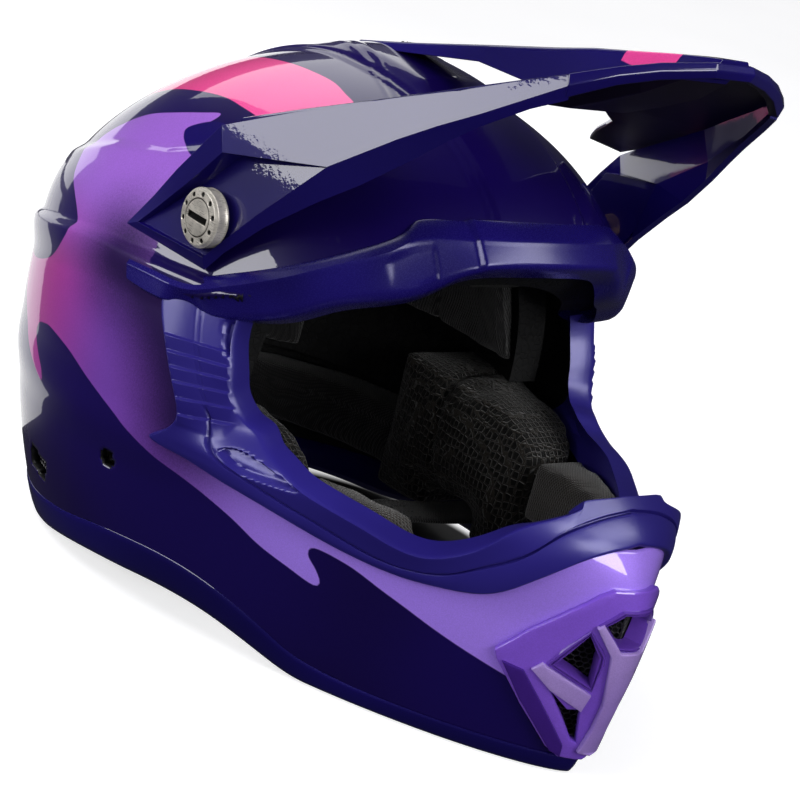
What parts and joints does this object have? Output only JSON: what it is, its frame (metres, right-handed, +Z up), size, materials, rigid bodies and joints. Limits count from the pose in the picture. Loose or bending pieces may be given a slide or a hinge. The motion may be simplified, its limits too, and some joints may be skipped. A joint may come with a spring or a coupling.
{
  "type": "motocross helmet",
  "caption": "Full-face off-road motocross helmet with bridged visor peak, pointed vented chin bar, open eye port, two-layer liner, removable cheek pads and chin strap.",
  "frame": {"origin": "centre of the helmet's bounding box in plan, at the plane it stands on", "axes": "+Z up, -Y forward (chin and visor), +X to the wearer's left"},
  "size_m": [0.2514, 0.357, 0.2902],
  "materials": {
    "painted_shell": "high-gloss clear-coated graphics in navy, purple and pink over moulded composite",
    "visor_paint": "gloss indigo moulded plastic, pale lavender reflections",
    "satin_trim": "satin blue-violet moulded trim",
    "rim_gloss": "gloss navy edge band",
    "mouth_gloss": "gloss purple",
    "black_mesh": "black mesh",
    "foam": "expanded bead foam, black",
    "comfort_fabric": "brushed knit, black",
    "spacer_mesh": "3-D spacer mesh",
    "webbing": "woven polyester webbing",
    "screw_metal": "bead-blasted aluminium-grey head",
    "insert_metal": "machined",
    "ring_metal": "polished steel wire",
    "coupler_rubber": "soft elastomer"
  },
  "bodies": {
    "shell_body": {"outer_shell": "painted_shell", "eye_port_frame": "satin_trim", "brow_trim": "satin_trim", "base_rim": "rim_gloss", "mouthpiece": "mouth_gloss", "mouthpiece_mesh": "black_mesh", "side_vent_grilles": "black_mesh", "outer_liner": "foam", "slip_couplers": "coupler_rubber", "chin_bar_foam": "foam", "left_cheek_pad": "spacer_mesh", "right_cheek_pad": "spacer_mesh", "left_cheek_pad_front": "spacer_mesh", "right_cheek_pad_front": "spacer_mesh", "neck_roll": "comfort_fabric", "left_chin_strap": "webbing", "right_chin_strap": "webbing", "ring_loop": "webbing", "left_visor_insert": "insert_metal", "right_visor_insert": "insert_metal", "strap_anchors": "ring_metal"},
    "visor_body": {"visor": "visor_paint"},
    "left_screw_body": {"left_visor_screw": "screw_metal"},
    "right_screw_body": {"right_visor_screw": "screw_metal"},
    "liner_body": {"inner_liner": "foam", "crown_pad": "comfort_fabric", "brow_pad": "comfort_fabric", "rear_pad": "comfort_fabric", "left_side_pad": "comfort_fabric", "right_side_pad": "comfort_fabric"},
    "ring_body": {"d_rings": "ring_metal"}
  },
  "joints": [
    {"name": "visor_tilt", "type": "hinge", "parent": "shell_body", "child": "visor_body", "pos_m": [0, -0.0045, 0.174], "axis": [1, 0, 0], "range_deg": [0, 10]},
    {"name": "left_screw_turn", "type": "hinge", "parent": "shell_body", "child": "left_screw_body", "pos_m": [0.113, -0.0045, 0.174], "axis": [1, 0, 0], "continuous": true},
    {"name": "right_screw_turn", "type": "hinge", "parent": "shell_body", "child": "right_screw_body", "pos_m": [-0.113, -0.0045, 0.174], "axis": [1, 0, 0], "continuous": true},
    {"name": "liner_slip", "type": "hinge", "parent": "shell_body", "child": "liner_body", "pos_m": [0, 0.0395, 0.098], "axis": [1, 0, 0], "range_deg": [-3, 3], "stiffness_Nm_per_rad": 8},
    {"name": "ring_swing", "type": "hinge", "parent": "shell_body", "child": "ring_body", "pos_m": [0.012, -0.0035, 0.036], "axis": [0, 1, 0], "range_deg": [-60, 60]}
  ]
}
